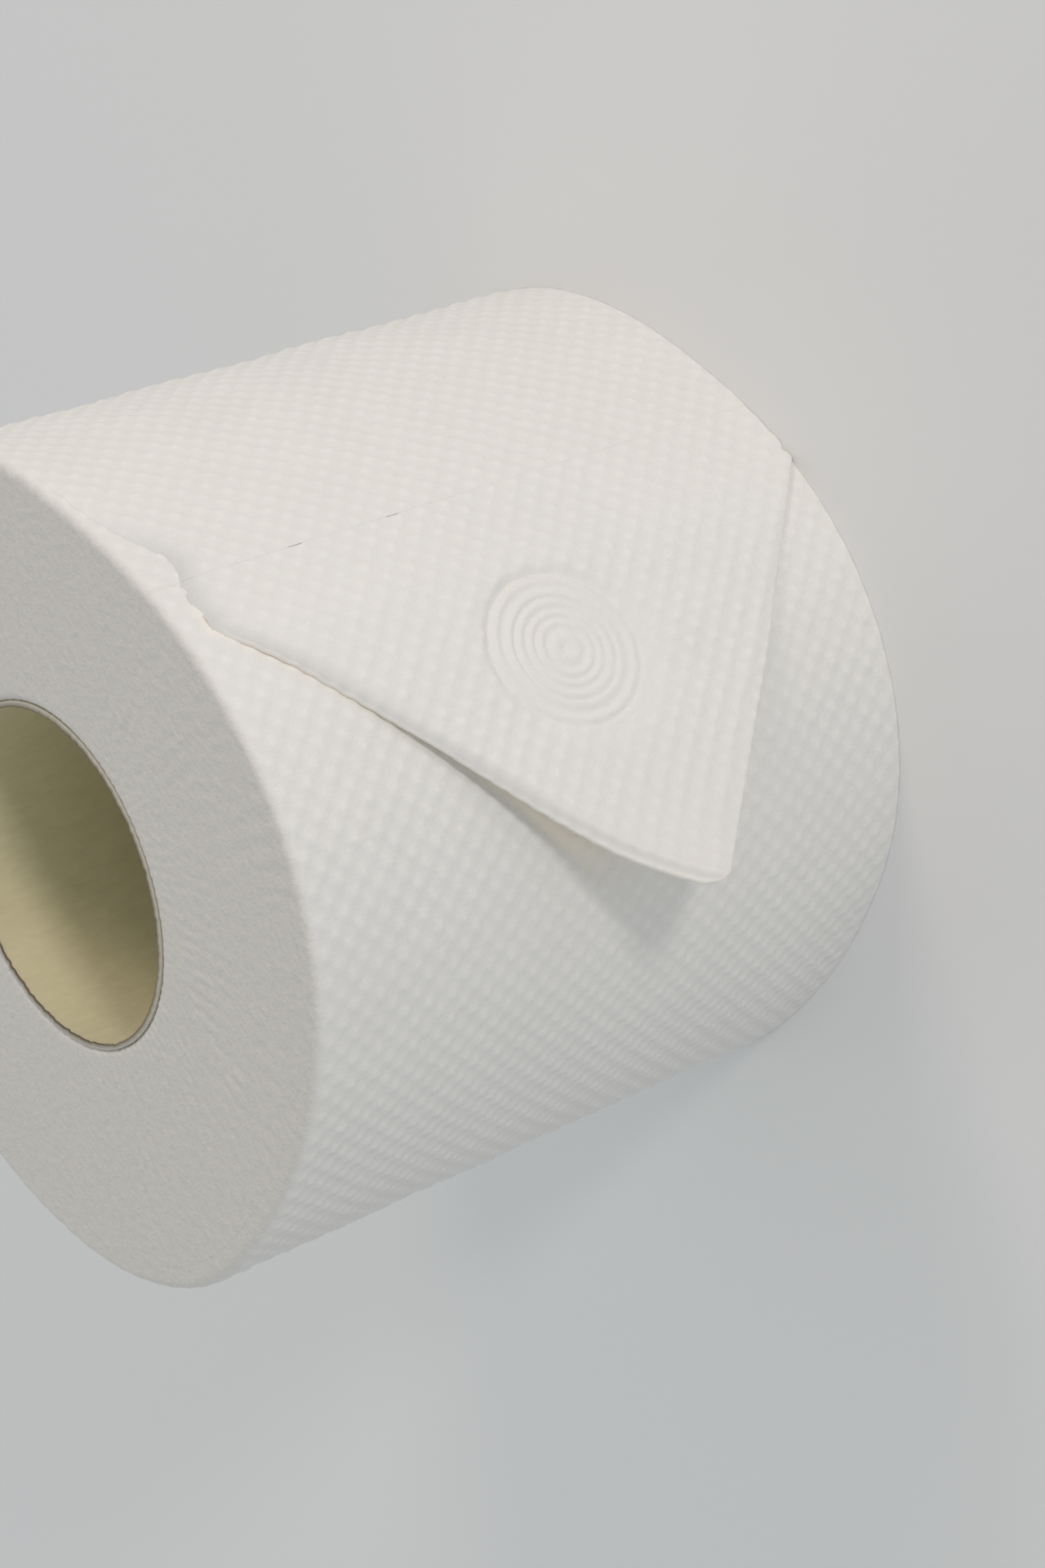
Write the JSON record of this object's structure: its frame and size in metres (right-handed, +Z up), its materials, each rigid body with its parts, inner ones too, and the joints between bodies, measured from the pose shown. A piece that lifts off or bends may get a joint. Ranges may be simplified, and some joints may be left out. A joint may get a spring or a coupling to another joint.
{
  "type": "toilet paper roll",
  "caption": "Embossed white tissue wound on an open cardboard core, with its loose end folded to a point that lifts off the roll.",
  "frame": {"origin": "on the roll's axis, in the plane of the end it stands on", "axes": "+Z up along the roll's axis, -Y towards the folded point of the last sheet"},
  "size_m": [0.1096, 0.1206, 0.095],
  "materials": {
    "tissue": "matt, soft, embossed with small raised dots",
    "cardboard": "matt grey-brown board, spiral wound"
  },
  "bodies": {
    "root": {"paper_roll": "tissue", "core_tube": "cardboard"}
  },
  "joints": []
}
